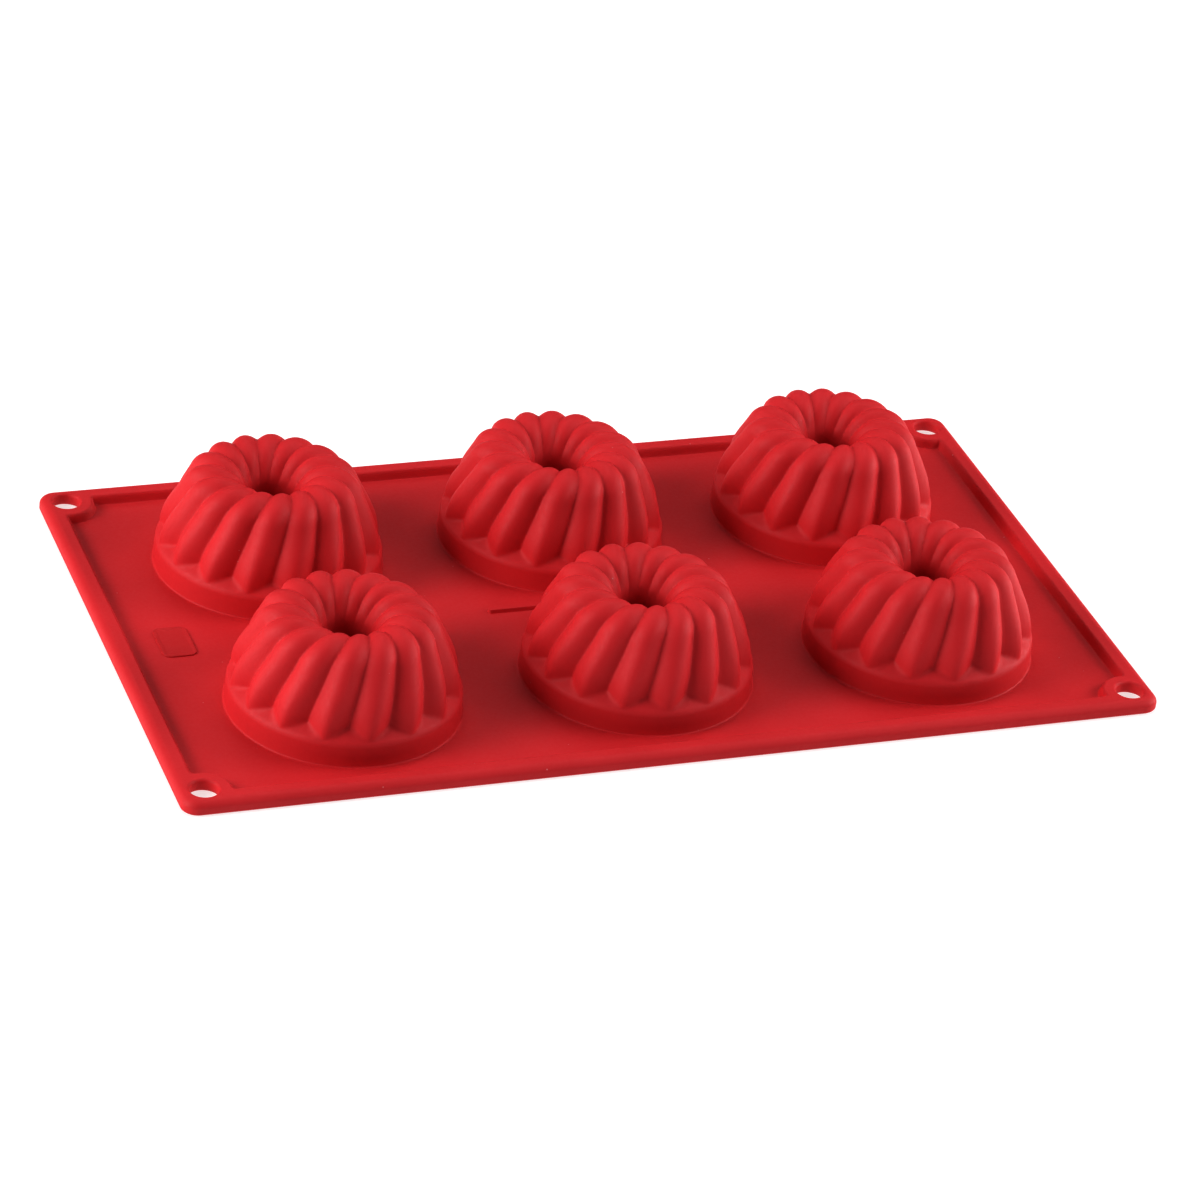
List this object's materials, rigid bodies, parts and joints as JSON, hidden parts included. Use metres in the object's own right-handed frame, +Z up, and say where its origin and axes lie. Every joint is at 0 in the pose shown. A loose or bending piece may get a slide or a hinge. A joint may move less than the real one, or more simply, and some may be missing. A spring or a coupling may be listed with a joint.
{
  "type": "bundt mould",
  "caption": "Flexible silicone bundt mould sheet with twisted fluted ring cups, shown domes up, beaded rim and corner hanging holes.",
  "frame": {"origin": "centre of the sheet's underside, on the plane it rests on when it lies domes up", "axes": "+X along the sheet's long side, +Y to the sheet's back long side (the badge is on the -X side), +Z up towards the domes"},
  "size_m": [0.3, 0.175, 0.034],
  "materials": {
    "silicone_red": "satin",
    "silicone_badge": "satin"
  },
  "bodies": {
    "root": {"deck_sheet": "silicone_red", "rim_bead": "silicone_red", "deck_rib": "silicone_red", "blank_badge": "silicone_badge", "eyelet_back_left": "silicone_red", "eyelet_back_right": "silicone_red", "eyelet_front_left": "silicone_red", "eyelet_front_right": "silicone_red", "cup_back_left_foot_ring": "silicone_red", "cup_back_left_fluted_wall": "silicone_red", "cup_back_left_centre_post": "silicone_red", "cup_back_middle_foot_ring": "silicone_red", "cup_back_middle_fluted_wall": "silicone_red", "cup_back_middle_centre_post": "silicone_red", "cup_back_right_foot_ring": "silicone_red", "cup_back_right_fluted_wall": "silicone_red", "cup_back_right_centre_post": "silicone_red", "cup_front_left_foot_ring": "silicone_red", "cup_front_left_fluted_wall": "silicone_red", "cup_front_left_centre_post": "silicone_red", "cup_front_middle_foot_ring": "silicone_red", "cup_front_middle_fluted_wall": "silicone_red", "cup_front_middle_centre_post": "silicone_red", "cup_front_right_foot_ring": "silicone_red", "cup_front_right_fluted_wall": "silicone_red", "cup_front_right_centre_post": "silicone_red"}
  },
  "joints": []
}
